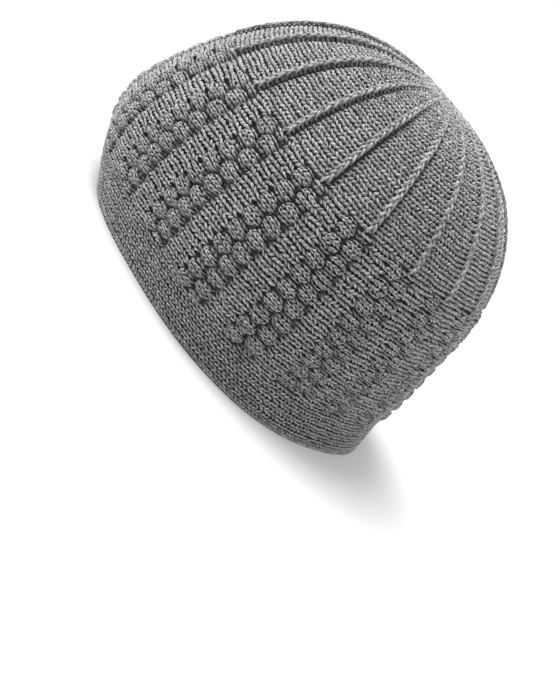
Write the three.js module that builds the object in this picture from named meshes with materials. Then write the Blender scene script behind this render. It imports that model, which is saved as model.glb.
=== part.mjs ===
// Knit cap: one hollow sideways-knitted fabric, with a plain brim, stripes of raised bobble stitches
// round the side, and a crown of plain wedges parted by raised ridges that meet at the top.
//
// Millimetres, +Z up. The brim's edge lies flat at z = 0, the wearer's face looks along -Y and the
// wearer's left is +X. The origin is the middle of the cap's footprint.
//
// Two shares place everything on the fabric: "climb" runs from the brim's edge (0) to the top of the
// crown (1), along the fabric, and "turn" runs once round, from the wearer's left towards the back.

import * as THREE from 'three';

// Driving dimensions
const HEIGHT = 136; // brim's edge to the top of the crown
const WALL = 3.2; // thickness of the knitted fabric

const FRONT_BRIM = 77; // reach of the brim's edge from the axis, towards the face
const FRONT_FULL = 107; // reach of the fullest part, towards the face
const FRONT_FULL_HEIGHT = 39; // height of that fullest part
const BACK_BRIM = 84;
const BACK_FULL = 78;
const BACK_FULL_HEIGHT = 64;
const SIDE_BRIM = 77;
const SIDE_FULL = 84;
const SIDE_FULL_HEIGHT = 43;
const CROWN_LEAN = 5; // how far the crown's top leans towards the face

const BRIM_DEPTH = 25; // plain band from the edge up to the pattern
const PATTERN_DEPTH = 64; // bobble stripes from the brim up to the feet of the ridges
const BRIM_ROLL = 1.2; // rounding of the brim's outer edge

const WALE = 4.4; // width of one column of stitches, which runs round the cap
const BOBBLE_RISE = 1.7; // how far a bobble stands out of the plain fabric
const PIT_DEPTH = 0.7; // how far the holes between bobbles sink
const BOBBLE_WIDTH = 0.2; // half the width of a bobble's foot, as a share of the wedge

const RIDGE_COUNT = 18; // ridges on the crown, one for each knitted wedge
const FIRST_RIDGE = 0.004; // turn of the first ridge, in shares of the way round
const RIDGE_RISE = 1.9; // how far a ridge stands out
const GROOVE_DEPTH = 0.6; // how far the fabric sinks on each side of a ridge
const RIDGE_FADE = 26; // length of ridge that sinks into the gathered top
const TOP_DIMPLE = 2.4; // how far the gathered stitches draw the top in

const NAPE_TUCK = 1.6; // how far the fabric pulls in above the brim at the nape
const NAPE_TUCK_HEIGHT = 16; // height of the deepest part of that tuck
const NAPE_TUCK_SPREAD = 12; // its reach up and down

// Shape of the dome above its fullest part, as pure numbers: a large swell starts to close over late,
// and a large round gives a flatter top
const DOME_POWERS = {
  front: { swell: 1.3, round: 2.6 },
  back: { swell: 2.1, round: 2.6 },
  side: { swell: 1.75, round: 2.4 },
};

const BRIM_OUTLINE_POWER = 2.5; // outline of the brim: 2 is an ellipse, more is squarer
const CROWN_OUTLINE_POWER = 2.2; // outline of the crown
const CROWN_OUTLINE_FROM = 0.6; // share of the height where the crown's outline is reached

// Places of the mesh's columns inside one wedge, as shares of the wedge from ridge to ridge
const PLAIN_COLUMNS = [0, 0.25, 0.5, 0.75];
const PATTERN_COLUMNS = [0, 0.125, 0.25, 0.375, 0.5, 0.625, 0.75, 0.875];
const CROWN_COLUMNS = [0, 0.07, 0.32, 0.5, 0.68, 0.93];

// The two columns of bobbles in each stripe, as shares of the wedge, and the step that each starts on
const BOBBLE_COLUMNS = [
  { place: 0, firstStep: 1 },
  { place: 0.75, firstStep: 2 },
];

// Rings of the mesh on the crown, as shares of the crown from the ridges' feet to the top
const CROWN_RINGS = [0.05, 0.15, 0.27, 0.4, 0.53, 0.65, 0.76, 0.86, 0.93, 0.975];
const INNER_RINGS = [0.97, 0.9, 0.82, 0.73, 0.63, 0.53, 0.43, 0.33, 0.23, 0.13, 0.06];
const BRIM_RINGS = [0.3, 0.6, 0.85];

const WAYS = {
  front: { brim: FRONT_BRIM, full: FRONT_FULL, fullAt: FRONT_FULL_HEIGHT / HEIGHT },
  back: { brim: BACK_BRIM, full: BACK_FULL, fullAt: BACK_FULL_HEIGHT / HEIGHT },
  side: { brim: SIDE_BRIM, full: SIDE_FULL, fullAt: SIDE_FULL_HEIGHT / HEIGHT },
};

// How far the fabric reaches from the axis one way, at a share of the height: it swells from the
// brim to its fullest, then closes over to the top.
function reach(way, rise) {
  const { brim, full, fullAt } = WAYS[way];
  if (rise < fullAt) {
    return full - (full - brim) * (1 - rise / fullAt) ** 2;
  }
  const over = Math.min((rise - fullAt) / (1 - fullAt), 1);
  return full * (1 - over ** DOME_POWERS[way].swell) ** (1 / DOME_POWERS[way].round);
}

// The tuck at the nape, at a share of the height: 0 where there is none
function napeTuck(rise) {
  const off = (rise * HEIGHT - NAPE_TUCK_HEIGHT) / NAPE_TUCK_SPREAD;
  return NAPE_TUCK * Math.exp(-off * off);
}

// Outline of the cap, seen from above, at one share of the height
class Outline extends THREE.Curve {
  constructor(rise) {
    super();
    this.arcLengthDivisions = 720;
    this.rise = rise;
    const crownShare = Math.min(rise / CROWN_OUTLINE_FROM, 1);
    this.power = 2 / (BRIM_OUTLINE_POWER + (CROWN_OUTLINE_POWER - BRIM_OUTLINE_POWER) * crownShare);
  }

  getPoint(share, target = new THREE.Vector3()) {
    const angle = share * 2 * Math.PI;
    const across = Math.cos(angle);
    const along = Math.sin(angle);
    const isBack = along > 0;
    const length = isBack ? reach('back', this.rise) - napeTuck(this.rise) : reach('front', this.rise);
    const x = Math.sign(across) * Math.abs(across) ** this.power * reach('side', this.rise);
    const y = Math.sign(along) * Math.abs(along) ** this.power * length;
    return target.set(x, y - CROWN_LEAN * this.rise ** 2, this.rise * HEIGHT);
  }
}

// Profile of the cap's side, from the brim's edge to the top
class Profile extends THREE.Curve {
  getPoint(share, target = new THREE.Vector3()) {
    const rise = 1 - (1 - share) ** 2;
    return target.set(reach('side', rise), 0, rise * HEIGHT);
  }
}

const profile = new Profile();
profile.arcLengthDivisions = 720;
const FABRIC_LENGTH = profile.getLength();
const outlines = new Map();

function outlineAt(climb) {
  if (!outlines.has(climb)) {
    const rise = profile.getPointAt(Math.min(climb, 1)).z / HEIGHT;
    outlines.set(climb, new Outline(rise));
  }
  return outlines.get(climb);
}

// A point of the fabric, moved out of it by lift
function fabricPoint(climb, turn, lift) {
  const share = ((turn % 1) + 1) % 1;
  const nudge = 0.004;
  const below = Math.max(climb - nudge, 0);
  const above = Math.min(climb + nudge, 0.999);
  const point = outlineAt(climb).getPointAt(share);
  const round = outlineAt(Math.min(climb, 0.99)).getTangentAt(share);
  const up = outlineAt(above).getPointAt(share).sub(outlineAt(below).getPointAt(share));
  const outward = round.cross(up).normalize();
  return point.addScaledVector(outward, lift);
}

// A point of the brim's edge, level with it, set in from the outside by inset
function edgePoint(turn, inset) {
  const share = ((turn % 1) + 1) % 1;
  const point = outlineAt(0).getPointAt(share);
  const tangent = outlineAt(0).getTangentAt(share);
  const outward = new THREE.Vector3(tangent.y, -tangent.x, 0).normalize();
  point.addScaledVector(outward, -inset);
  point.z = 0;
  return point;
}

// One ring of the mesh: a point for each column of each wedge
function ring(columns, pointAt) {
  const points = [];
  const turns = [];
  for (let wedge = 0; wedge < RIDGE_COUNT; wedge += 1) {
    for (const place of columns) {
      const turn = (wedge + place) / RIDGE_COUNT;
      turns.push(turn);
      points.push(pointAt(turn + FIRST_RIDGE, place));
    }
  }
  return { points, turns };
}

function topPoint(lift) {
  const point = new THREE.Vector3(0, -CROWN_LEAN, HEIGHT - TOP_DIMPLE + lift);
  return { points: [point], turns: [0] };
}

// Relief of the bobble stripes at one step up the pattern: bobbles and pits take turns
function bobbleRelief(step, steps, place) {
  if (step === 0 || step === steps) {
    return 0;
  }
  let relief = 0;
  for (const column of BOBBLE_COLUMNS) {
    const apart = Math.abs(place - column.place);
    const nearness = Math.max(1 - Math.min(apart, 1 - apart) / BOBBLE_WIDTH, 0);
    const isBobble = (step - column.firstStep) % 2 === 0;
    relief += nearness * (isBobble ? BOBBLE_RISE : -PIT_DEPTH);
  }
  return relief;
}

// Relief of a crown ridge and of the grooves beside it
function ridgeRelief(crownShare, place, crownLength) {
  const fade = Math.min(((1 - crownShare) * crownLength) / RIDGE_FADE, 1);
  const [ridge, grooveAfter] = CROWN_COLUMNS;
  const grooveBefore = CROWN_COLUMNS[CROWN_COLUMNS.length - 1];
  if (place === ridge) {
    return RIDGE_RISE * fade;
  }
  return place === grooveAfter || place === grooveBefore ? -GROOVE_DEPTH * fade : 0;
}

function brimRings() {
  const edge = ring(PLAIN_COLUMNS, (turn) => edgePoint(turn, BRIM_ROLL));
  const roll = ring(PLAIN_COLUMNS, (turn) => fabricPoint(BRIM_ROLL / FABRIC_LENGTH, turn, 0));
  const band = BRIM_RINGS.map((share) =>
    ring(PLAIN_COLUMNS, (turn) => fabricPoint((share * BRIM_DEPTH) / FABRIC_LENGTH, turn, 0)),
  );
  return [edge, roll, ...band];
}

function patternRings() {
  const steps = Math.max(Math.round(PATTERN_DEPTH / WALE), 2);
  const rings = [];
  for (let step = 0; step <= steps; step += 1) {
    const climb = (BRIM_DEPTH + (step / steps) * PATTERN_DEPTH) / FABRIC_LENGTH;
    const relief = (place) => bobbleRelief(step, steps, place);
    rings.push(ring(PATTERN_COLUMNS, (turn, place) => fabricPoint(climb, turn, relief(place))));
  }
  return rings;
}

function crownRings() {
  const start = BRIM_DEPTH + PATTERN_DEPTH;
  const crownLength = FABRIC_LENGTH - start;
  return CROWN_RINGS.map((share) => {
    const climb = (start + share * crownLength) / FABRIC_LENGTH;
    const relief = (place) => ridgeRelief(share, place, crownLength);
    const gathered = -TOP_DIMPLE * share ** 24;
    return ring(CROWN_COLUMNS, (turn, place) => fabricPoint(climb, turn, relief(place) + gathered));
  });
}

function innerRings() {
  const rings = INNER_RINGS.map((climb) => ring(PLAIN_COLUMNS, (turn) => fabricPoint(climb, turn, -WALL)));
  const edge = ring(PLAIN_COLUMNS, (turn) => edgePoint(turn, WALL));
  return [...rings, edge];
}

// Fills the strip between two neighbouring rings, which may hold different numbers of points
function bridge(first, second, faces) {
  let a = 0;
  let b = 0;
  const indexOf = (each, step) => each.start + (step % each.points.length);
  const turnAfter = (each, step) => (step + 1 < each.turns.length ? each.turns[step + 1] : 1);
  while (a < first.points.length || b < second.points.length) {
    const firstDone = a === first.points.length;
    const secondDone = b === second.points.length;
    const stepFirst = secondDone || (!firstDone && turnAfter(first, a) <= turnAfter(second, b));
    if (stepFirst) {
      if (first.points.length > 1) {
        faces.push(indexOf(first, a), indexOf(first, a + 1), indexOf(second, b));
      }
      a += 1;
    } else {
      if (second.points.length > 1) {
        faces.push(indexOf(first, a), indexOf(second, b + 1), indexOf(second, b));
      }
      b += 1;
    }
  }
}

// The closed skin: down the inside from its top, across the brim's edge and up the outside
function knitFabric() {
  const rings = [
    topPoint(-WALL),
    ...innerRings(),
    ...brimRings(),
    ...patternRings(),
    ...crownRings(),
    topPoint(0),
  ];
  const positions = [];
  const faces = [];
  for (const each of rings) {
    each.start = positions.length / 3;
    for (const point of each.points) {
      positions.push(point.x, point.y, point.z);
    }
  }
  for (let index = 1; index < rings.length; index += 1) {
    bridge(rings[index - 1], rings[index], faces);
  }
  const geometry = new THREE.BufferGeometry();
  geometry.setAttribute('position', new THREE.Float32BufferAttribute(positions, 3));
  geometry.setIndex(faces);
  return geometry;
}

// Sets the middle of the footprint over the origin
function centreOverOrigin(geometry) {
  geometry.computeBoundingBox();
  const middle = geometry.boundingBox.getCenter(new THREE.Vector3());
  geometry.translate(-middle.x, -middle.y, 0);
  geometry.computeVertexNormals();
  return geometry;
}

const greyWool = new THREE.MeshStandardMaterial({
  color: 0x7c7c7d,
  roughness: 0.95,
  metalness: 0,
});

const cap = new THREE.Group();
const knitCap = new THREE.Mesh(centreOverOrigin(knitFabric()), greyWool);
knitCap.name = 'knit_cap';
cap.add(knitCap);

export default cap;
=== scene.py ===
# %% [markdown]
# This lesson dresses a hand-knitted wool cap. The cap is one hollow fabric, knitted sideways: the
# columns of stitches, which knitters call wales, run round the head, and each row runs from the brim
# up to the top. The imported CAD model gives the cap's place and size, so it is loaded first and never
# changed. All that is made here is in metres, in the same frame.

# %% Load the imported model
import math

import bpy
import numpy as np
from mathutils import Matrix, Vector


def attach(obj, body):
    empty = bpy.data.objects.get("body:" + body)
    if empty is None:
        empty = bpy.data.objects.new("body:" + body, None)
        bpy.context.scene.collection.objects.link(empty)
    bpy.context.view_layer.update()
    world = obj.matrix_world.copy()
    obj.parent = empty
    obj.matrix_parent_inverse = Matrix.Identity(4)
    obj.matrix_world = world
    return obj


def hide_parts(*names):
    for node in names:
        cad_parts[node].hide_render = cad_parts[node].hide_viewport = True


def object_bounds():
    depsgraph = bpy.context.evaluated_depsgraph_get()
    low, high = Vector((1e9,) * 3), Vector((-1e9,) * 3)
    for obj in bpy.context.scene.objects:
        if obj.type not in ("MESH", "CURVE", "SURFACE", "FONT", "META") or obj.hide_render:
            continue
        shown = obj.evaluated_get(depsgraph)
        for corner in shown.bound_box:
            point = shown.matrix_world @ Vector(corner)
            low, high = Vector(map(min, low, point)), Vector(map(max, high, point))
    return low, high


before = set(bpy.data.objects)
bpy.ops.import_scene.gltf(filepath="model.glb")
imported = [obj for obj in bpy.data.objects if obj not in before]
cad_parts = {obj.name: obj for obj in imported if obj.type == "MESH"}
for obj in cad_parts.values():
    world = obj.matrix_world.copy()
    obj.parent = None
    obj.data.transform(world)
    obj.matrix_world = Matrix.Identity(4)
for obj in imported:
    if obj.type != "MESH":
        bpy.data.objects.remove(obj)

MM = 0.001
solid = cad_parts["knit_cap"]
solid_low, solid_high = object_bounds()
size_in_mm = [round(length / MM, 1) for length in solid_high - solid_low]
print("the packed cap measures", size_in_mm, "mm")

# %% [markdown]
# The camera comes first, because it decides how fine the stitches have to be. It stands behind the
# wearer's left shoulder, a little above the cap, and it is rolled, because the cap was photographed
# tilted back and here it rests level on its brim.

# %% The camera
CAMERA_AZIMUTH = math.radians(119.4)
CAMERA_ELEVATION = math.radians(17.0)
CAMERA_ROLL = math.radians(48.8)
CAMERA_DISTANCE = 654.5 * MM
CAMERA_LENS = 75.2  # millimetres, on a film 36 mm high
AIM_HEIGHT = 75 * MM
AIM_RIGHT = -24.9 * MM
AIM_UP = -75.8 * MM

backward = Vector((
    math.sin(CAMERA_AZIMUTH) * math.cos(CAMERA_ELEVATION),
    -math.cos(CAMERA_AZIMUTH) * math.cos(CAMERA_ELEVATION),
    math.sin(CAMERA_ELEVATION),
))
level_right = Vector((0, 0, 1)).cross(backward).normalized()
level_up = backward.cross(level_right)
camera_right = level_right * math.cos(CAMERA_ROLL) + level_up * math.sin(CAMERA_ROLL)
camera_up = level_up * math.cos(CAMERA_ROLL) - level_right * math.sin(CAMERA_ROLL)
aim = Vector((0, 0, AIM_HEIGHT)) + camera_right * AIM_RIGHT + camera_up * AIM_UP

camera = bpy.data.objects.new("camera", bpy.data.cameras.new("camera"))
bpy.context.scene.collection.objects.link(camera)
bpy.context.scene.camera = camera
camera.data.lens = CAMERA_LENS
camera.data.clip_start = 0.02
camera.matrix_world = Matrix((
    (camera_right.x, camera_up.x, backward.x, 0),
    (camera_right.y, camera_up.y, backward.y, 0),
    (camera_right.z, camera_up.z, backward.z, 0),
    (0, 0, 0, 1),
))
camera.location = aim + backward * CAMERA_DISTANCE
print("the camera is", round(camera.location.z / MM), "mm above the floor")

# %% [markdown]
# A knitted fabric has no seams to model from, but it has a chart, as a knitting pattern does. Here a
# place on the fabric has two numbers: the climb, in millimetres along the fabric from the brim's edge
# to the top, and the turn, the share of the way round from the wearer's left. The cap's shape is a
# few sizes and powers, the same that shape the solid: how far the fabric reaches towards the face,
# the back and the sides at each height.

# %% Sizes of the cap, in millimetres
HEIGHT = 136
FRONT_BRIM, FRONT_FULL, FRONT_FULL_HEIGHT = 77, 107, 39
BACK_BRIM, BACK_FULL, BACK_FULL_HEIGHT = 84, 78, 64
SIDE_BRIM, SIDE_FULL, SIDE_FULL_HEIGHT = 77, 84, 43
CROWN_LEAN = 5
NAPE_TUCK, NAPE_TUCK_HEIGHT, NAPE_TUCK_SPREAD = 1.6, 16, 12
WALL = 3.2
BRIM_DEPTH = 18
PATTERN_DEPTH = 71
RIDGE_COUNT = 18
FIRST_RIDGE = 0.004

WAYS = {
    "front": dict(brim=FRONT_BRIM, full=FRONT_FULL, height=FRONT_FULL_HEIGHT, swell=1.3, round=2.6),
    "back": dict(brim=BACK_BRIM, full=BACK_FULL, height=BACK_FULL_HEIGHT, swell=2.1, round=2.6),
    "side": dict(brim=SIDE_BRIM, full=SIDE_FULL, height=SIDE_FULL_HEIGHT, swell=1.75, round=2.4),
}
BRIM_OUTLINE_POWER = 2.5
CROWN_OUTLINE_POWER = 2.2
CROWN_OUTLINE_FROM = 0.6


def reach(way, rise):
    """How far the fabric reaches from the axis one way, at a share of the height."""
    shape = WAYS[way]
    full_at = shape["height"] / HEIGHT
    below = shape["full"] - (shape["full"] - shape["brim"]) * (1 - np.minimum(rise / full_at, 1)) ** 2
    over = np.clip((rise - full_at) / (1 - full_at), 0, 1)
    above = shape["full"] * (1 - over ** shape["swell"]) ** (1 / shape["round"])
    return np.where(rise < full_at, below, above)


side_steps = np.linspace(0, 1, 4001)
side_rise = 1 - (1 - side_steps) ** 2
side_lengths = np.hypot(np.diff(reach("side", side_rise)), np.diff(side_rise * HEIGHT))
side_climb = np.concatenate([[0], np.cumsum(side_lengths)])
FABRIC_LENGTH = side_climb[-1]
CROWN_FROM = BRIM_DEPTH + PATTERN_DEPTH
print("the fabric is", round(FABRIC_LENGTH, 1), "mm from the brim's edge to the top")

# %% [markdown]
# The chart is worked out once as a fine grid of points and outward directions. Each later piece looks
# its places up in this grid, so thousands of stitches can be laid on the cap in one step.

# %% The chart of the fabric
CHART_CLIMBS = 461
CHART_TURNS = 1440
TOP_RISE = 0.99999  # just under the top, where an outline would shrink to a point
RIM_BAND = 0.1 * MM  # corners of the solid below this height belong to its rim
TINY = 1e-12  # keeps a length from being divided by nothing


def outline(rise):
    """One level outline of the cap, as points evenly spaced round it."""
    angle = np.linspace(0, 2 * math.pi, 2 * CHART_TURNS + 1)
    across, along = np.cos(angle), np.sin(angle)
    crown_share = min(rise / CROWN_OUTLINE_FROM, 1)
    power = 2 / (BRIM_OUTLINE_POWER + (CROWN_OUTLINE_POWER - BRIM_OUTLINE_POWER) * crown_share)
    tuck = NAPE_TUCK * math.exp(-(((rise * HEIGHT - NAPE_TUCK_HEIGHT) / NAPE_TUCK_SPREAD) ** 2))
    length = np.where(along > 0, reach("back", rise) - tuck, reach("front", rise))
    x = np.sign(across) * np.abs(across) ** power * reach("side", rise)
    y = np.sign(along) * np.abs(along) ** power * length - CROWN_LEAN * rise ** 2
    walked = np.concatenate([[0], np.cumsum(np.hypot(np.diff(x), np.diff(y)))])
    even = np.linspace(0, walked[-1], CHART_TURNS, endpoint=False)
    points = [
        np.interp(even, walked, x),
        np.interp(even, walked, y),
        np.full(CHART_TURNS, rise * HEIGHT),
    ]
    return np.column_stack(points), walked[-1]


chart_climb = np.linspace(0, FABRIC_LENGTH, CHART_CLIMBS)
chart_rise = np.interp(chart_climb, side_climb, side_rise)
outlines = [outline(min(rise, TOP_RISE)) for rise in chart_rise]
chart_point = np.array([points for points, girth in outlines])
chart_girth = np.array([girth for points, girth in outlines])

rim_y = [corner.co.y / MM for corner in solid.data.vertices if corner.co.z < RIM_BAND]
BACKWARD_SHIFT = (min(rim_y) + max(rim_y)) / 2 - (BACK_BRIM - FRONT_BRIM) / 2
chart_point[:, :, 1] += BACKWARD_SHIFT

round_step = np.roll(chart_point, -1, axis=1) - np.roll(chart_point, 1, axis=1)
climb_step = np.gradient(chart_point, axis=0)
chart_outward = np.cross(round_step, climb_step)
chart_outward /= np.linalg.norm(chart_outward, axis=2, keepdims=True) + TINY
chart_outward[-1] = (0, 0, 1)


def girth(climb):
    """Length round the cap at a climb."""
    return np.interp(climb, chart_climb, chart_girth)


def look_up(chart, climb, turn):
    """Reads a chart between its points."""
    row = np.clip(climb / FABRIC_LENGTH, 0, 1) * (CHART_CLIMBS - 1)
    column = (turn % 1.0) * CHART_TURNS
    low = np.minimum(row.astype(int), CHART_CLIMBS - 2)
    left = column.astype(int) % CHART_TURNS
    right = (left + 1) % CHART_TURNS
    up = (row - low)[..., None]
    over = (column - np.floor(column))[..., None]
    bottom = chart[low, left] * (1 - over) + chart[low, right] * over
    top = chart[low + 1, left] * (1 - over) + chart[low + 1, right] * over
    return bottom * (1 - up) + top * up


def on_fabric(climb, turn, lift):
    """Points in metres at places on the fabric, moved out of it by lift, never below the floor."""
    points = look_up(chart_point, climb, turn) + look_up(chart_outward, climb, turn) * lift[..., None]
    points[..., 2] = np.maximum(points[..., 2], 0)
    return points * MM


chart_size = CHART_CLIMBS * CHART_TURNS
print("the chart has", chart_size, "points and is shifted by", round(BACKWARD_SHIFT, 1), "mm")

# %% [markdown]
# The relief says how far the knitting stands out of the smooth shape. In the side's pattern, two columns
# of raised blocks climb each wedge, with a stretch of plain knitting before the next two. A block is two
# wales wide and four rows long, with three lines of finer stitches, and swollen like a pillow. The second
# column is shifted by one wale, as bricks are, so the blocks' ends are pinched and reach in between each
# other. The plain wales come out of pits beside the second column, dark from their shadow and from
# painted shade, and end in rounded tips at the next wedge. At the forehead and the nape the fabric is
# pulled flatter. On the crown a ridge runs up at the start of each wedge, and the top is drawn in.
#
# The table has a row for each stretch of a wedge: its place and span as shares of the wedge, its
# rows, how many lines of stitches a wale has, how long and how full their legs are, the wale where
# its pairs of wales start, and how strongly it swells, starts in pits and ends in tips.

# %% The relief of the knitting
ROWS_IN_WEDGE = 14
BRIM_WALES = 6
PATTERN_WALES = 18
CROWN_WALES = 23
WALE_GRADE = 0.2  # the pattern's wales grow by this share, below and above their middle width
BRIM_WALE = BRIM_DEPTH / BRIM_WALES
PATTERN_WALE = PATTERN_DEPTH / PATTERN_WALES
CROWN_WALE = (FABRIC_LENGTH - CROWN_FROM) / CROWN_WALES

BLOCK_WALES = 2
STRIPES = (  # two columns of blocks, then plain knitting
    dict(
        place=-0.28, span=0.28, rows=4, lines=1.5, leg=3.3, fuller=1.16,
        first_wale=0, swell=1, start_pit=1.0, end_tip=0,
    ),
    dict(
        place=0.0, span=0.28, rows=4, lines=1.5, leg=3.3, fuller=1.16,
        first_wale=1, swell=1, start_pit=0.3, end_tip=0,
    ),
    dict(
        place=0.36, span=0.44, rows=6, lines=1, leg=3.9, fuller=1,
        first_wale=0, swell=0, start_pit=1.5, end_tip=1,
    ),
)
HEXAGON_ALONG = 0.78  # the slants of a block's outline: how fast they close in along the row
HEXAGON_ACROSS = 0.42  # and across it
HEXAGON_POWER = 6  # the higher, the sharper the corners of the outline
HEXAGON_LIMIT = 1.12
PILLOW_RISE = 2.0
PILLOW_GAP = 2.3  # how deep the gaps round a block lie
PILLOW_DOME = 0.4  # share of a block's height that is a gentle dome, and not its steep edge
PILLOW_STEEPNESS = 10  # power of the steep edge
PILLOW_FILL = 0.97  # share of the two wales that the block's outline fills
PILLOW_PINCH = 0.2  # share by which a block is narrower at its ends
PILLOW_DRAWN_IN = 0.05  # a block is drawn in by this share, which leaves a gap round it, dark from its shadow and from the body's painted shade
PILLOW_LONGER = 0.13  # a block reaches this share past its rows, in between the next column's blocks
PILLOW_UNEVEN = 0.22  # share by which the pillows differ in height
PILLOW_SHIFT = 0.35  # how far they lie off their places, in millimetres
UNEVEN_STEPS = (12.99, 5741.3, 2.4)  # large odd steps, so that a sine of their sum looks random
END_LIMIT = 1.2  # places past a block's end count no further than this
PIT_DEPTH = 1.3
PIT_LENGTH = 0.16  # as a share of half a stretch
TIP_FROM = 0.45  # the tips start at this share of the way from a stretch's middle to its end
TIP_RISE = 0.7
TIP_GAP = 0.8
TIP_PINCH = 0.16
TIP_POWER = 4  # the higher, the flatter the tips are on top
FRONT_STRETCH = 0.6  # share of the relief that is pulled flat at the forehead
NAPE_STRETCH = 0.35  # and at the nape
DRIFT = 0.085  # the wedges are a little uneven: they drift by this share of their width
DRIFT_START = 0.015
RIDGE_RISE = 0.7
RIDGE_WIDTH = 1.4
RIDGE_FOOT = 4  # the ridges rise over this length, where the pattern ends
RIDGE_FADE = 42  # near the top they sink again, over this length
RIDGE_FADE_EARLY = 0.2  # and are gone this share of it before the top
GROOVE_DEPTH = 0.5
GROOVE_PLACE = 2.2
GAP_DEPTH = 1.6  # the narrow gap on one side of a ridge, where the next wedge starts under it
GAP_PLACE = GROOVE_PLACE * 0.7
GAP_WIDTH = 1.0
BODY_GAP_DEPTH = 0.3  # the same gap in the body under the stitches
WEDGE_OVERLAP = 0.8  # each wedge rises to its end, where it lies over the start of the next
WEDGE_LEVEL = 0.6  # place in a wedge where it is neither raised nor lowered
TOP_DIMPLE = 0.6
TOP_DIMPLE_POWER = 24  # the higher, the smaller the dimple
PIT_FLOOR = 1.1  # how much lower the body lies under the pattern


def wedge_drift(climb, turn):
    """How far the wedges have drifted from even places, to and fro twice in a round."""
    drift = DRIFT / RIDGE_COUNT * np.minimum(climb / CROWN_FROM, 1)
    return drift * np.cos((turn - DRIFT_START) * 4 * math.pi)


def wedge_place(climb, turn):
    """Place inside a wedge, from -0.5 to 0.5, with the ridge at 0."""
    return ((turn - wedge_drift(climb, turn) - FIRST_RIDGE) * RIDGE_COUNT + 0.5) % 1.0 - 0.5


def pattern_climb(wale):
    """Climb of the edge between two wales of the pattern, counted from the brim."""
    share = wale / PATTERN_WALES
    return BRIM_DEPTH + PATTERN_DEPTH * share * (1 - WALE_GRADE + WALE_GRADE * share)


def pattern_width(wale):
    """Width of a wale of the pattern."""
    return PATTERN_WALE * (1 - WALE_GRADE + 2 * WALE_GRADE * wale / PATTERN_WALES)


def pair_middle(wale, first):
    """The edge in the middle of a pair of wales, when pairs are counted from a first wale."""
    return np.floor((wale - first) / BLOCK_WALES) * BLOCK_WALES + first + BLOCK_WALES / 2


def uneven(pair, middle_turn, choice):
    """A number from -1 to 1 that differs from block to block."""
    by_pair, by_turn, by_choice = UNEVEN_STEPS
    return np.sin(pair * by_pair + middle_turn * by_turn + choice * by_choice)


def in_hexagon(along, up):
    """0 in the middle of a block, 1 on its edge. Its ends are points between the next column's."""
    slanting = HEXAGON_ALONG * np.abs(along) + HEXAGON_ACROSS * np.abs(up)
    distance = (up ** HEXAGON_POWER + slanting ** HEXAGON_POWER) ** (1 / HEXAGON_POWER)
    return np.clip(distance, 0, HEXAGON_LIMIT)


def on_pattern(climb, turn, wale, stripe, middle_turn):
    """Draws a stitch of the pattern to its place in its block or plain stretch, and lifts it."""
    read = {key: np.array([each[key] for each in STRIPES])[stripe] for key in STRIPES[0]}
    backness = np.sin(turn * 2 * math.pi)
    stretch = 1 - np.where(backness > 0, NAPE_STRETCH, FRONT_STRETCH) * backness ** 2
    half_run = read["span"] / 2 * girth(climb) / RIDGE_COUNT
    along = (turn - middle_turn) * girth(climb) / half_run
    own = pair_middle(wale, read["first_wale"])
    other = pair_middle(wale, 1 - read["first_wale"])
    up = (climb - pattern_climb(own)) / pattern_width(own)
    up_other = (climb - pattern_climb(other)) / pattern_width(other)

    end = np.clip(np.abs(along), 0, END_LIMIT)
    pinch = read["swell"] * PILLOW_PINCH * end ** 3
    longer = read["swell"] * PILLOW_LONGER
    from_middle = in_hexagon(along * (1 + longer), up * (1 - pinch) * PILLOW_FILL)
    rise = PILLOW_RISE * (1 + PILLOW_UNEVEN * uneven(own, middle_turn, 0))
    dome = rise * (1 - PILLOW_DOME * from_middle ** 2)
    fall = rise * (1 - PILLOW_DOME) + PILLOW_GAP
    pillow = dome - fall * from_middle ** PILLOW_STEEPNESS
    start = np.exp(-(((np.minimum(along, 0) + 1) / PIT_LENGTH) ** 2)) * np.clip(1 - up ** 2, 0, 1)
    near_end = np.clip((along - TIP_FROM) / (1 - TIP_FROM), 0, 1) ** 2 * read["end_tip"]
    rounded = 1 - np.clip(np.abs(up_other), 0, END_LIMIT) ** TIP_POWER
    tip = near_end * ((TIP_RISE + TIP_GAP) * rounded - TIP_GAP)
    pit = PIT_DEPTH * read["start_pit"] * start
    lift = (read["swell"] * pillow + tip - pit) * stretch

    shift_climb = read["swell"] * PILLOW_SHIFT * uneven(own, middle_turn, 1)
    shift_turn = read["swell"] * PILLOW_SHIFT * uneven(own, middle_turn, 2)
    narrower = (pinch + read["swell"] * PILLOW_DRAWN_IN) * up + TIP_PINCH * near_end * up_other
    at_climb = climb - narrower * pattern_width(own) + shift_climb
    at_turn = turn + (longer * along * half_run + shift_turn) / girth(climb)
    return at_climb, at_turn, lift


def ridge_relief(climb, turn, gap_depth=GAP_DEPTH):
    """Ridges of the crown, with their grooves and gaps, the overlapping wedges, and the drawn-in top."""
    share = np.clip((climb - CROWN_FROM) / (FABRIC_LENGTH - CROWN_FROM), 0, 1)
    fade = np.clip((FABRIC_LENGTH - climb) / RIDGE_FADE - RIDGE_FADE_EARLY, 0, 1)
    fade = fade * np.clip((climb - CROWN_FROM + RIDGE_FOOT / 2) / RIDGE_FOOT, 0, 1)
    place = wedge_place(climb, turn)
    side = place * girth(climb) / RIDGE_COUNT
    overlap = WEDGE_OVERLAP * (place % 1.0 - WEDGE_LEVEL)
    off = np.abs(side)
    ridge = RIDGE_RISE * np.exp(-((off / RIDGE_WIDTH) ** 2))
    groove = GROOVE_DEPTH * np.exp(-(((off - GROOVE_PLACE) / RIDGE_WIDTH) ** 2))
    gap = gap_depth * np.exp(-(((side - GAP_PLACE) / GAP_WIDTH) ** 2))
    relief = (ridge + overlap - groove - gap * fade ** 3) * fade
    return relief - TOP_DIMPLE * share ** TOP_DIMPLE_POWER


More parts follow.
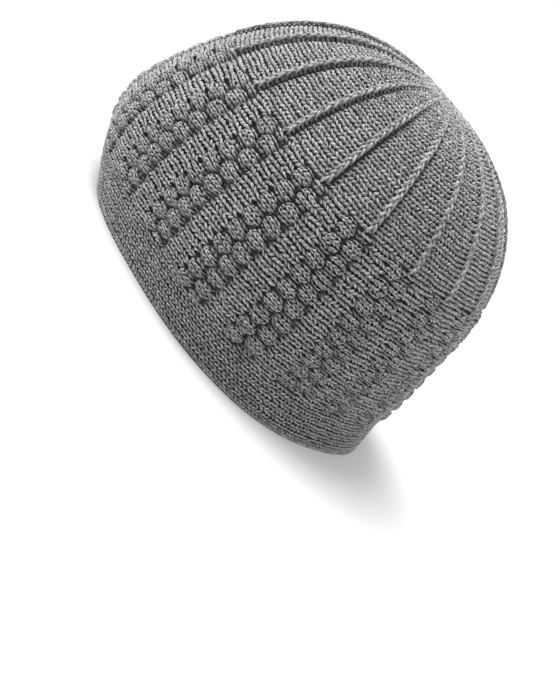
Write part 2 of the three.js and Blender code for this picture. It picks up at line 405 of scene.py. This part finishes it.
def body_relief(climb, turn):
    """Relief of the fabric's body: it lies lower under the pattern, below its pits."""
    depth = np.minimum(climb - BRIM_DEPTH, CROWN_FROM - climb)
    in_pattern = np.clip(depth / PATTERN_WALE, 0, 1)
    return ridge_relief(climb, turn, BODY_GAP_DEPTH) - PIT_FLOOR * in_pattern


wale_widths = [round(float(width), 2) for width in (BRIM_WALE, PATTERN_WALE, CROWN_WALE)]
print("the wales of brim, pattern and crown are", wale_widths, "mm wide")

# %% [markdown]
# Materials are built from nodes, and the maths between them is easier to read as a sum than as a row
# of boxes. The first class below wraps one output socket and gives it the operators that are needed.
# Any other node comes from one method of the second, which takes the node's type, its settings and
# what feeds its sockets.

# %% A small language for materials
class Socket:
    """One output of a node, which can be added and multiplied."""

    def __init__(self, finish, output):
        self.finish = finish
        self.output = output

    def math(self, operation, *values):
        return self.finish.node("ShaderNodeMath", dict(operation=operation), values)

    def __add__(self, other):
        return self.math("ADD", self, other)

    def __rsub__(self, other):
        return self.math("SUBTRACT", other, self)

    def __mul__(self, other):
        return self.math("MULTIPLY", self, other)

    def __rmul__(self, other):
        return self.math("MULTIPLY", other, self)

    def wave(self):
        """A sine, brought from 0 to 1."""
        return self.math("SINE", self) * 0.5 + 0.5

    def stretched(self, low, high):
        """Stretches low..high to 0..1 and cuts what lies outside."""
        sockets = {"Value": self, "From Min": low, "From Max": high}
        return self.finish.node("ShaderNodeMapRange", dict(clamp=True), sockets)


class Finish:
    """A material that is built from nodes."""

    def __init__(self, name):
        self.material = bpy.data.materials.new(name)
        self.material.use_nodes = True
        self.tree = self.material.node_tree
        self.tree.nodes.clear()

    def node(self, kind, settings=None, sockets=None, output=0):
        """Adds a node and gives back one of its outputs."""
        made = self.tree.nodes.new(kind)
        for name, value in (settings or {}).items():
            setattr(made, name, value)
        pairs = sockets.items() if isinstance(sockets, dict) else enumerate(sockets or ())
        for key, value in pairs:
            if isinstance(value, Socket):
                self.tree.links.new(value.output, made.inputs[key])
            else:
                made.inputs[key].default_value = value
        return Socket(self, made.outputs[output]) if made.outputs else None

    def colour(self, share, low, high):
        """A colour between two, by share."""
        return self.node("ShaderNodeMix", dict(data_type="RGBA"), {0: share, 6: low, 7: high}, 2)

    def close(self, shader):
        """Joins the shader to the material's output."""
        self.node("ShaderNodeOutputMaterial", None, {"Surface": shader})
        return self.material


# %% [markdown]
# The wool is a heather yarn: pale and dark grey fibres are blended before spinning, so its colour
# wanders from stitch to stitch and in streaks along the yarn. Each stitch carries a tone of its own,
# an attribute, and a UV map that runs along the yarn, on which fine noise is stretched into fibres.
# Two plies twist round each other, which shows as slanting bumps. The surface is dull, with a soft
# sheen at glancing angles, where loose fibres catch the light.

# %% The wool finish
WOOL_DARK = (0.018, 0.018, 0.019, 1)
WOOL_PALE = (0.47, 0.47, 0.475, 1)
FIBRES_ALONG = 7
FIBRES_ROUND = 10
MARL_SCALE = 1500
PLY_TURNS = 3
TONE_SHARE, FIBRE_SHARE, MARL_SHARE, PLY_SHARE = 0.1, 0.48, 0.42, 0.1  # what the shade is mixed from
SHADE_LOW, SHADE_HIGH = 0.38, 0.67  # the mix is stretched from these to the dark and the pale wool
PAINTED_SHADE_STRENGTH = 0.75  # painted shade: how much darker a leg is made where it dives under its neighbours, and where it lies deep
PLY_BUMP, FIBRE_BUMP = 0.4, 0.8


def wool_finish(name):
    wool = Finish(name)
    uv = wool.node("ShaderNodeUVMap", dict(uv_map="yarn"))
    tone = wool.node("ShaderNodeAttribute", dict(attribute_name="tone"), None, 2)
    # painted shade of each corner: darker at a leg's ends, which lie under other legs, and where it lies
    # deep
    painted_shade = wool.node("ShaderNodeAttribute", dict(attribute_name="painted_shade"), None, 2)
    parts = [wool.node("ShaderNodeSeparateXYZ", None, [uv], index) for index in (0, 1)]
    streaks = wool.node("ShaderNodeCombineXYZ", None, [parts[0] * FIBRES_ROUND, parts[1] * FIBRES_ALONG])
    fibres = wool.node("ShaderNodeTexNoise", None, {"Vector": streaks, "Scale": 1, "Detail": 3})
    place = wool.node("ShaderNodeTexCoord", None, None, 3)
    marl = wool.node("ShaderNodeTexNoise", None, {"Vector": place, "Scale": MARL_SCALE, "Detail": 1})
    ply = ((parts[0] * 2 + parts[1] * PLY_TURNS) * (2 * math.pi)).wave()
    shade = TONE_SHARE * tone + FIBRE_SHARE * fibres + MARL_SHARE * marl + PLY_SHARE * ply
    shade = shade.stretched(SHADE_LOW, SHADE_HIGH) * (1 - PAINTED_SHADE_STRENGTH * painted_shade)
    colour = wool.colour(shade, WOOL_DARK, WOOL_PALE)
    height = ply * PLY_BUMP + fibres * FIBRE_BUMP
    bump = wool.node("ShaderNodeBump", None, {"Strength": 0.9, "Distance": 0.0004, "Height": height})
    shader = wool.node("ShaderNodeBsdfPrincipled", None, {
        "Base Color": colour,
        "Roughness": 0.88,
        "Specular IOR Level": 0.25,
        "Sheen Weight": 0.35,
        "Sheen Roughness": 0.45,
        "Normal": bump,
    })
    return wool.close(shader)


wool = wool_finish("grey_wool")
print("made the finish", wool.name, "with", len(wool.node_tree.nodes), "nodes")

# %% [markdown]
# A stitch of plain knitting shows as a V of two legs. A leg is a short bend of yarn: thick in the middle,
# pointed where it dives under its neighbours, and swung from the middle of the wale to its edge. It could
# be a curve with a bevel, but a spindle of a few dozen faces is lighter, and it is copied many thousand
# times. So one leg is modelled from a five-sided cylinder: two cuts, then each ring is moved and sized by
# the table.

# %% One leg of a stitch
LEG_SIDES = 5
CLOSE_BY = 0.01  # corners nearer than this count as being at a place
LEG_SECTIONS = (  # places along the leg, and the rest as shares of the wale
    dict(place=0.05, out=0.14, lift=-0.15, width=0.15, depth=0.14),
    dict(place=0.33, out=0.19, lift=0.05, width=0.30, depth=0.31),
    dict(place=0.67, out=0.31, lift=0.04, width=0.30, depth=0.31),
    dict(place=0.95, out=0.37, lift=-0.18, width=0.15, depth=0.13),
)


def deselect_all():
    if bpy.context.mode != "OBJECT":
        bpy.ops.object.mode_set(mode="OBJECT")
    bpy.ops.object.select_all(action="DESELECT")


def select_near(mesh, x, reach_x):
    """In edit mode, selects the corners whose x is near a place."""
    bpy.ops.mesh.select_all(action="DESELECT")
    bpy.ops.object.mode_set(mode="OBJECT")
    for corner in mesh.vertices:
        corner.select = abs(corner.co.x - x) < reach_x
    bpy.ops.object.mode_set(mode="EDIT")


def model_leg():
    """A leg one unit long on x, on a wale one unit wide, its V's point at x = 0."""
    deselect_all()
    bpy.ops.mesh.primitive_cylinder_add(
        vertices=LEG_SIDES, radius=0.5, depth=1, end_fill_type="TRIFAN",
        location=(0.5, 0, 0), rotation=(0, math.pi / 2, 0),
    )
    leg = bpy.context.object
    leg.name = "stitch_leg"
    bpy.ops.object.transform_apply(location=True, rotation=True, scale=True)
    bpy.ops.object.mode_set(mode="EDIT")
    bpy.ops.mesh.select_mode(type="VERT")
    for section in LEG_SECTIONS[1:-1]:
        bpy.ops.mesh.select_all(action="SELECT")
        bpy.ops.mesh.bisect(plane_co=(section["place"], 0, 0), plane_no=(1, 0, 0))
    starts = (0, *[section["place"] for section in LEG_SECTIONS[1:-1]], 1)
    for section, start in zip(LEG_SECTIONS, starts):
        select_near(leg.data, start, CLOSE_BY)
        size = (1, section["width"], section["depth"])
        bpy.ops.transform.resize(value=size, center_override=(start, 0, 0))
        move = (section["place"] - start, section["out"], section["lift"])
        bpy.ops.transform.translate(value=move)
    bpy.ops.object.mode_set(mode="OBJECT")
    for corner in leg.data.vertices:
        first, last = LEG_SECTIONS[0], LEG_SECTIONS[-1]
        for section, tip in ((first, 0.0), (last, 1.0)):
            middle = Vector((section["place"], section["out"], section["lift"]))
            if (corner.co - middle).length < CLOSE_BY:
                corner.co.x = tip
    return leg


leg = model_leg()
print("one leg has", len(leg.data.vertices), "corners and", len(leg.data.polygons), "faces")

# %% [markdown]
# The many legs are joined meshes, worked out as arrays: the leg's corners, once for each place in a
# list, are set on the chart. A list of places says where each leg starts, how long and wide it is,
# which half of the V it is, and its tone. A leg of the other half is mirrored, so its faces are
# turned round to keep pointing outwards.

# %% Laying legs on the fabric
leg_corners = np.array([corner.co[:] for corner in leg.data.vertices])
leg_faces = [list(face.vertices) for face in leg.data.polygons]
leg_uv = np.array([loop.uv[:] for loop in leg.data.uv_layers[0].data])
leg_loops = [list(face.loop_indices) for face in leg.data.polygons]
leg_end_painted_shade = np.abs(2 * leg_corners[:, 0] - 1) ** 3  # painted shade, near 1 at the ends, which lie under other legs
leg_triangles = sum(len(face) - 2 for face in leg_faces)
bpy.data.objects.remove(leg)


def joined_mesh(name, points, mirrored, tones, shifts, painted_depth_shade=0.0):
    """One mesh of many legs: points has a row of corners for each, and the last argument is the painted
    shade that each corner gets for lying deep.
    """
    count, corners = points.shape[:2]
    normal_order = [index for face in leg_faces for index in face]
    turned_order = [index for face in leg_faces for index in reversed(face)]
    normal_uv = leg_uv[[index for loops in leg_loops for index in loops]]
    turned_uv = leg_uv[[index for loops in leg_loops for index in reversed(loops)]]
    order = np.where(mirrored[:, None], np.array(turned_order), np.array(normal_order))
    order = order + np.arange(count)[:, None] * corners
    uv = np.where(mirrored[:, None, None], turned_uv, normal_uv) + shifts[:, None, :]
    sizes = np.tile([len(face) for face in leg_faces], count)
    mesh = bpy.data.meshes.new(name)
    mesh.vertices.add(count * corners)
    mesh.vertices.foreach_set("co", points.astype(np.float32).ravel())
    mesh.loops.add(order.size)
    mesh.loops.foreach_set("vertex_index", order.astype(np.int32).ravel())
    mesh.polygons.add(len(sizes))
    mesh.polygons.foreach_set("loop_start", (np.cumsum(sizes) - sizes).astype(np.int32))
    mesh.update(calc_edges=True)
    mesh.uv_layers.new(name="yarn").data.foreach_set("uv", uv.astype(np.float32).ravel())
    tone = mesh.attributes.new("tone", "FLOAT", "POINT")
    tone.data.foreach_set("value", np.repeat(tones, corners).astype(np.float32))
    # painted shade, kept on the corners: the share for the leg's ends joined with the share for lying
    # deep
    painted_shade = mesh.attributes.new("painted_shade", "FLOAT", "POINT")
    shaded = 1 - (1 - leg_end_painted_shade[None, :]) * (1 - painted_depth_shade * np.ones(points.shape[:2]))
    painted_shade.data.foreach_set("value", shaded.astype(np.float32).ravel())
    mesh.polygons.foreach_set("use_smooth", np.ones(len(sizes), bool))
    mesh.materials.append(wool)
    piece = bpy.data.objects.new(name, mesh)
    bpy.context.scene.collection.objects.link(piece)
    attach(piece, "root")
    return piece


# %% [markdown]
# Hand knitting is never quite even. Each leg is moved, sized and turned a little by seeded random
# numbers, and the whole lines of stitches wander slowly, by a few sine waves over the chart. Legs that
# lie deep, in pits and gaps, get painted shade: their colour is made darker.

# %% Knitting zone by zone
V_POINTS = 1  # the Vs point the way that turn grows
ROW_LEAN = -0.15  # how far a row leans along the wale, for each millimetre across it
WANDER = 0.35
LEG_LENGTH = 3.9
LEG_LENGTH_PITCH = 2.27  # the row pitch at which a leg has its full length
LEG_LENGTH_POWER = 0.7  # how much a leg's length follows the row pitch
LEG_LIFT = -0.62
SIZE_SPREAD = 0.07  # spreads of the random numbers: of a leg's size, as a share
PLACE_SPREAD = 0.09  # of its place, in millimetres
LIFT_SPREAD = 0.6  # of its lift, as a share of the spread of its place
TILT_SPREAD = 0.05
PATTERN_LOOSE = 1.4  # the pattern's stitches are pulled about more than the plain ones
YARN_SPREAD = 50  # legs read the yarn's streaks from places this far apart
LEAST_GIRTH = 8
DEEP_SHADE = 0.8  # how much the fullest painted shade takes away where the fabric is deep
DEEP_START = 0.3  # the painted shade starts at this depth, in millimetres
DEEP_RUN = 1.0  # and is at its fullest this much deeper
dice = np.random.default_rng(7)


def wander(climb, turn):
    """Slow drift of the stitch lines, in millimetres: four waves of no special length."""
    angle = turn * 2 * math.pi
    slow = np.sin(5 * angle + climb * 0.11) + np.sin(13 * angle - climb * 0.07 + 2)
    quick = np.sin(18 * angle + climb * 0.05 + 1) + np.sin(41 * angle + climb * 0.31)
    return WANDER * (slow + quick) / 2


def lay_legs(name, stitches, leg_length=LEG_LENGTH):
    """Two legs for each stitch. A stitch is its climb and turn, the width of its line and the pitch of
    its rows, and for the pattern its wale, its stretch in the table and the turn of its middle."""
    climb, turn, width, pitch, wale, stripe, middle_turn = (
        np.repeat(values, 2) for values in np.array(stitches).T
    )
    count = len(climb)
    half = np.tile([1.0, -1.0], count // 2)
    in_pattern = (stripe >= 0)[:, None]
    which = np.maximum(stripe, 0).astype(int)
    loose = np.where(in_pattern, PATTERN_LOOSE, 1)
    size = dice.normal(1, SIZE_SPREAD, (count, 3))
    slide = dice.normal(0, PLACE_SPREAD, (count, 3)) * loose
    tone = dice.uniform(0, 1, count)
    along, out, up = (leg_corners[:, axis][None, :] for axis in range(3))
    stripe_legs = np.array([each["leg"] for each in STRIPES])
    leg_length = np.where(stripe >= 0, stripe_legs[which], leg_length)
    stretched = (pitch / LEG_LENGTH_PITCH) ** LEG_LENGTH_POWER
    length = (leg_length * stretched)[:, None] * size[:, :1]
    across = half[:, None] * out * width[:, None] * size[:, 1:2]
    run = -V_POINTS * (along - 0.5) * length + ROW_LEAN * across
    lift = up * width[:, None] * size[:, 2:3] + LEG_LIFT
    tilt = dice.normal(0, TILT_SPREAD, (count, 1)) * loose
    at_climb = climb[:, None] + across + slide[:, :1] + tilt * run
    at_turn = turn[:, None] + (run + slide[:, 1:2]) / np.maximum(girth(climb), LEAST_GIRTH)[:, None]
    placed = on_pattern(at_climb, at_turn, wale[:, None], which[:, None], middle_turn[:, None])
    at_climb = np.where(in_pattern, placed[0], at_climb)
    at_turn = np.where(in_pattern, placed[1], at_turn)
    at_turn = at_turn + wedge_drift(at_climb, at_turn)
    relief = np.where(in_pattern, placed[2], 0) + ridge_relief(at_climb, at_turn)
    # painted shade for legs that lie deep, in pits and gaps
    painted_depth_shade = DEEP_SHADE * np.clip((-relief - DEEP_START) / DEEP_RUN, 0, 1)
    lift = lift + relief + slide[:, 2:3] * LIFT_SPREAD
    at_climb = at_climb + wander(at_climb, at_turn) * np.clip(at_climb / BRIM_DEPTH, 0, 1)
    at_climb = np.clip(at_climb, 0, FABRIC_LENGTH)
    points = on_fabric(at_climb, at_turn, lift)
    mirrored = (half * V_POINTS) > 0
    return joined_mesh(name, points, mirrored, tone, dice.uniform(0, YARN_SPREAD, (count, 2)), painted_depth_shade)


PLAIN = (0, -1, 0)  # for a stitch outside the pattern: no wale, no stretch in the table, no middle
BRIM_ROWS = 12  # in a wedge
BRIM_LEG_LENGTH = 3.3
PATTERN_FROM = 0.3  # the pattern has no stitches nearer the brim than this, counted in wales
ROW_PITCH = 2.2
CROWN_SPLIT = 8  # wales of the crown in its lower piece


def brim_wales():
    """Stitches of the brim: even rows all the way round."""
    stitches = []
    for wale in range(BRIM_WALES):
        climb = (wale + 0.5) * BRIM_WALE
        pitch = girth(climb) / RIDGE_COUNT / BRIM_ROWS
        for row in range(BRIM_ROWS * RIDGE_COUNT):
            turn = FIRST_RIDGE + (row + 0.5 * (wale % 2)) / BRIM_ROWS / RIDGE_COUNT
            stitches.append((climb, turn, BRIM_WALE, pitch, *PLAIN))
    return stitches


def pattern_wales(first, last):
    """Stitches of the pattern, stretch by stretch."""
    stitches = []
    for which, stripe in enumerate(STRIPES):
        lines = stripe["lines"]
        wales = stripe["first_wale"] + (np.arange(-BLOCK_WALES, PATTERN_WALES * lines) + 0.5) / lines
        for wale in wales[(wales >= first) & (wales < last) & (wales > PATTERN_FROM)]:
            climb = pattern_climb(wale)
            width = pattern_width(wale) / lines * stripe["fuller"]
            pitch = girth(climb) / RIDGE_COUNT * stripe["span"] / stripe["rows"]
            for wedge in range(RIDGE_COUNT):
                middle_turn = FIRST_RIDGE + (wedge + stripe["place"]) / RIDGE_COUNT
                for row in range(stripe["rows"]):
                    off = ((row + 0.5) / stripe["rows"] - 0.5) * stripe["span"] / RIDGE_COUNT
                    turn = middle_turn + off
                    stitches.append((climb, turn, width, pitch, wale, which, middle_turn))
    return stitches


def crown_wales(first, last):
    """Stitches of the crown: the nearer the top, the fewer rows in a wedge, and then in the round."""
    stitches = []
    for wale in range(first, last):
        climb = CROWN_FROM + (wale + 0.5) * CROWN_WALE
        rows = round(girth(climb) / RIDGE_COUNT / ROW_PITCH) * RIDGE_COUNT
        rows = rows or round(girth(climb) / ROW_PITCH)
        for row in range(rows):
            turn = FIRST_RIDGE + (row + 0.5) / rows
            stitches.append((climb, turn, CROWN_WALE, girth(climb) / rows, *PLAIN))
    return stitches


third = PATTERN_WALES // 3
knitting = {
    "brim_stitches": brim_wales(),
    "lower_pattern_stitches": pattern_wales(0, third),
    "middle_pattern_stitches": pattern_wales(third, 2 * third),
    "upper_pattern_stitches": pattern_wales(2 * third, PATTERN_WALES),
    "lower_crown_stitches": crown_wales(0, CROWN_SPLIT),
    "upper_crown_stitches": crown_wales(CROWN_SPLIT, CROWN_WALES),
}
for name, stitches in knitting.items():
    lay_legs(name, stitches, BRIM_LEG_LENGTH if name == "brim_stitches" else LEG_LENGTH)
    print(name, "has", len(stitches), "stitches and", leg_triangles * 2 * len(stitches), "triangles")

# %% [markdown]
# Each ridge on the crown is a chain of larger loops, one to a wale, laid slanting over each other
# like a rope. The same leg is used, longer, turned to run up the fabric.

# %% The ridges of the crown
CHAIN_LEG_LENGTH = 5.7
CHAIN_WIDTH = 0.62  # how far apart a chain's legs lie, against those of plain knitting
CHAIN_THICKNESS = 1.1
CHAIN_LIFT = 0.8
CHAIN_STAGGER = 0.25  # one side's legs are moved up by this share of a wale, the other's down
CHAIN_LEAST = 0.1  # share of its size that a chain keeps at the top
CHAIN_TONE = 0.9  # the palest tone of a chain
CHAIN_SIZE_SPREAD = 0.05
CHAIN_PLACE_SPREAD = 0.07
LEG_MIDDLE_OUT = 0.255  # middle of a leg's sections, across the wale
RIDGE_STOP = 14  # the ridges end this far from the top


def lay_ridges():
    """Two legs for each wale of each ridge, one to each side."""
    stitches = int((FABRIC_LENGTH - RIDGE_STOP - CROWN_FROM) / CROWN_WALE)
    grids = np.meshgrid(np.arange(stitches), np.arange(RIDGE_COUNT), (-1, 1))
    step, ridge, side = (grid.ravel() for grid in grids)
    climb = CROWN_FROM + (step + 0.5 + side * CHAIN_STAGGER) * CROWN_WALE
    turn = FIRST_RIDGE + ridge / RIDGE_COUNT
    turn = turn + wedge_drift(climb, turn)
    count = len(climb)
    fade = np.clip((FABRIC_LENGTH - climb) / RIDGE_FADE - CHAIN_LEAST, CHAIN_LEAST, 1)[:, None]
    along, out, up = (leg_corners[:, axis][None, :] for axis in range(3))
    size = dice.normal(1, CHAIN_SIZE_SPREAD, (count, 3))
    slide = dice.normal(0, CHAIN_PLACE_SPREAD, (count, 2))
    run = (0.5 - along) * CHAIN_LEG_LENGTH * size[:, :1]
    middle = LEG_MIDDLE_OUT * CROWN_WALE
    thicker = (out * CROWN_WALE - middle) * CHAIN_THICKNESS + middle * CHAIN_WIDTH
    sideways = side[:, None] * thicker * size[:, 1:2] * fade
    lift = (up * CROWN_WALE * CHAIN_THICKNESS * size[:, 2:3] + CHAIN_LIFT) * fade
    at_climb = np.clip(climb[:, None] + run + slide[:, :1], 0, FABRIC_LENGTH)
    at_turn = turn[:, None] + (sideways + slide[:, 1:2]) / girth(climb)[:, None]
    at_climb = at_climb + wander(at_climb, at_turn)
    share = (at_climb - CROWN_FROM) / (FABRIC_LENGTH - CROWN_FROM)
    lift = lift - TOP_DIMPLE * share ** TOP_DIMPLE_POWER
    points = on_fabric(np.clip(at_climb, 0, FABRIC_LENGTH), at_turn, lift)
    mirrored = side < 0
    tone = dice.uniform(0, CHAIN_TONE, count)
    return joined_mesh("crown_ridges", points, mirrored, tone, dice.uniform(0, YARN_SPREAD, (count, 2)))


ridges = lay_ridges()
print("the ridges have", len(ridges.data.polygons) // len(leg_faces), "loops")

# %% [markdown]
# Under the stitches lies the body of the fabric. It closes the gaps, and its inner face is the purl
# side of the knitting, seen when the cap is turned over. It is one sheet, folded at the brim's edge:
# a flat grid is added, its corners are sent to their places on the chart, down the outside and up the
# inside, and the seam and the two poles are merged.

# %% The body of the fabric
BODY_DEPTH = 1.2  # how far it lies below the tops of the stitches
BODY_TURNS = RIDGE_COUNT * 12
OUTER_ROWS = 76
INNER_ROWS = 36
EDGE_INSET = 1.4
MERGE_REACH = 0.00002  # in metres


def fabric_body():
    """The sheet under the stitches, folded from a flat grid."""
    deselect_all()
    rows = OUTER_ROWS + INNER_ROWS + 1
    bpy.ops.mesh.primitive_grid_add(x_subdivisions=BODY_TURNS, y_subdivisions=rows, size=1)
    body = bpy.context.object
    body.name = "fabric_body"
    flat = np.array([corner.co[:] for corner in body.data.vertices])
    turn = flat[:, 0] + 0.5
    row = np.rint((flat[:, 1] + 0.5) * rows)
    outside = row <= OUTER_ROWS
    outer_climb = FABRIC_LENGTH * (1 - row / OUTER_ROWS)
    inner_climb = FABRIC_LENGTH * (row - OUTER_ROWS - 1) / INNER_ROWS
    climb = np.clip(np.where(outside, outer_climb, inner_climb), 0, FABRIC_LENGTH)
    at_edge = (row == OUTER_ROWS) | (row == OUTER_ROWS + 1)
    lift = np.where(outside, body_relief(climb, turn) - BODY_DEPTH, -WALL)
    lift = np.where(row == OUTER_ROWS, -EDGE_INSET, lift)
    pole = (row == 0) | (row == rows)
    turn = np.where(pole, 0, turn)
    points = on_fabric(climb, turn, lift)
    points[at_edge, 2] = 0
    body.data.vertices.foreach_set("co", points.astype(np.float32).ravel())
    body.data.update()
    bpy.ops.object.mode_set(mode="EDIT")
    bpy.ops.mesh.select_all(action="SELECT")
    bpy.ops.mesh.remove_doubles(threshold=MERGE_REACH)
    bpy.ops.mesh.select_all(action="SELECT")
    bpy.ops.mesh.normals_make_consistent(inside=False)
    bpy.ops.object.mode_set(mode="OBJECT")
    bpy.ops.object.shade_smooth()
    body.data.uv_layers[0].name = "fabric"
    return body


body = fabric_body()
print("the body of the fabric has", len(body.data.polygons), "faces")

# %% [markdown]
# The body's finish has the rows and wales of the purl side as bumps, on the sheet's own UV map. Where it
# faces out, its colour is far darker than the stitches': painted shade, standing in for the shade that
# fibres too fine to model cast on the deep wool between stitches.

# %% The finish of the body
ROWS_ROUND = RIDGE_COUNT * ROWS_IN_WEDGE
WALES_UP = BRIM_WALES + PATTERN_WALES + CROWN_WALES
WALES_ON_UV = WALES_UP * (OUTER_ROWS + INNER_ROWS + 1) / INNER_ROWS
# painted shade: the far darker colours of the body where it faces out
PAINTED_SHADE_DARK = (0.015, 0.015, 0.015, 1)
PAINTED_SHADE_PALE = (0.075, 0.075, 0.075, 1)
BODY_MARL_SCALE = 700
PURL_BUMP = 0.001  # in metres
DEEP_BUMP = 0.0004
INSIDE = Vector((0, BACKWARD_SHIFT * MM, 60 * MM))  # a point in the hollow of the cap


def body_finish(name, dark, pale, bump_depth):
    wool = Finish(name)
    uv = wool.node("ShaderNodeUVMap", dict(uv_map="fabric"))
    parts = [wool.node("ShaderNodeSeparateXYZ", None, [uv], index) for index in (0, 1)]
    rows = (parts[0] * (ROWS_ROUND * 2 * math.pi)).wave()
    wales = (parts[1] * (WALES_ON_UV * 2 * math.pi)).wave()
    place = wool.node("ShaderNodeTexCoord", None, None, 3)
    marl = wool.node("ShaderNodeTexNoise", None, {"Vector": place, "Scale": BODY_MARL_SCALE, "Detail": 3})
    purl = rows * wales + 0.3 * rows + 0.3 * marl
    shade = (0.5 * marl + 0.4 * purl).stretched(0.15, 0.85)
    colour = wool.colour(shade, dark, pale)
    bump = wool.node("ShaderNodeBump", None, {"Strength": 0.8, "Distance": bump_depth, "Height": purl})
    shader = wool.node("ShaderNodeBsdfPrincipled", None, {
        "Base Color": colour,
        "Roughness": 0.92,
        "Specular IOR Level": 0.1,
        "Normal": bump,
    })
    return wool.close(shader)


body.data.materials.append(body_finish("purl_side", WOOL_DARK, WOOL_PALE, PURL_BUMP))
# the faces that look out get the darker copy, which is painted shade
body.data.materials.append(body_finish("painted_shade_wool", PAINTED_SHADE_DARK, PAINTED_SHADE_PALE, DEEP_BUMP))
for face in body.data.polygons:
    faces_out = face.normal.dot(face.center - INSIDE) > 0
    face.material_index = 1 if faces_out else 0
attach(body, "root")
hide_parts("knit_cap")
print("the body has", len(body.data.materials), "finishes")

# %% [markdown]
# The brim's edge is finished with a chain of small slanting loops, which closes the fabric and rolls
# a little under.

# %% The edge of the brim
EDGE_LOOP_LENGTH = 3.6
EDGE_CLIMB = 1.0
EDGE_WIDTH = 3.2  # sizes of the loops, against those of the leg they are made from
EDGE_THICKNESS = 5.2
EDGE_MIDDLE = 0.25  # place across the leg that comes to lie on the edge
EDGE_SINK = 1.25
EDGE_ROLL = 2.0  # how much higher the upper side of a loop lies than its lower side
EDGE_SIZE_SPREAD = 0.05


def lay_edge():
    """One leg for each row, laid along the rim."""
    count = ROWS_ROUND
    turn = (np.arange(count) + 0.5) / count
    along, out, up = (leg_corners[:, axis][None, :] for axis in range(3))
    size = dice.normal(1, EDGE_SIZE_SPREAD, (count, 3))
    run = (0.5 - along) * EDGE_LOOP_LENGTH * size[:, :1]
    at_climb = EDGE_CLIMB + (out - EDGE_MIDDLE) * EDGE_WIDTH * size[:, 1:2]
    lift = up * EDGE_THICKNESS * size[:, 2:3] - EDGE_SINK + (out - EDGE_MIDDLE) * EDGE_ROLL
    at_turn = turn[:, None] + run / girth(0)
    points = on_fabric(at_climb, at_turn, lift)
    mirrored = np.full(count, V_POINTS > 0)
    tone = dice.uniform(0, 1, count)
    return joined_mesh("brim_edge", points, mirrored, tone, dice.uniform(0, YARN_SPREAD, (count, 2)))


edge = lay_edge()
print("the edge has", len(edge.data.polygons) // len(leg_faces), "loops")

# %% [markdown]
# The cap rests on a plain pale floor. The light is soft and comes mostly from above, as from one wide
# lamp, with a pale room all round, so the brim and the lower side are the darkest.

# %% Floor and light
FLOOR_SIZE = 30
bpy.context.scene.view_settings.view_transform = "Standard"


def pale_floor():
    """A plain floor, so wide that its end is out of sight."""
    deselect_all()
    bpy.ops.mesh.primitive_plane_add(size=FLOOR_SIZE, location=(0, 0, 0))
    floor = bpy.context.object
    floor.name = "floor"
    finish = Finish("pale_floor")
    shader = finish.node("ShaderNodeBsdfPrincipled", None, {
        "Base Color": (0.66, 0.66, 0.66, 1),
        "Roughness": 0.8,
        "Specular IOR Level": 0.2,
    })
    floor.data.materials.append(finish.close(shader))


pale_floor()

KEY_STRENGTH = 5.25
KEY_SPREAD = math.radians(50)
KEY_RIGHT, KEY_BACKWARD, KEY_UP = 0.12, 0.05, 0.2  # how far the lamp is off the camera's own up
ROOM_STRENGTH = 1.0
key = bpy.data.objects.new("key_light", bpy.data.lights.new("key_light", "SUN"))
bpy.context.scene.collection.objects.link(key)
key.data.energy = KEY_STRENGTH
key.data.angle = KEY_SPREAD
towards_key = camera_up + camera_right * KEY_RIGHT + backward * KEY_BACKWARD + Vector((0, 0, KEY_UP))
towards_key.normalize()
key.rotation_mode = "QUATERNION"
key.rotation_quaternion = towards_key.to_track_quat("Z", "Y")

world = bpy.data.worlds.new("pale_room")
bpy.context.scene.world = world
world.use_nodes = True
room = world.node_tree.nodes["Background"]
room.inputs["Color"].default_value = (1, 1, 1, 1)
room.inputs["Strength"].default_value = ROOM_STRENGTH
print("the key light comes from", [round(value, 2) for value in towards_key])

# %% Finish
deselect_all()
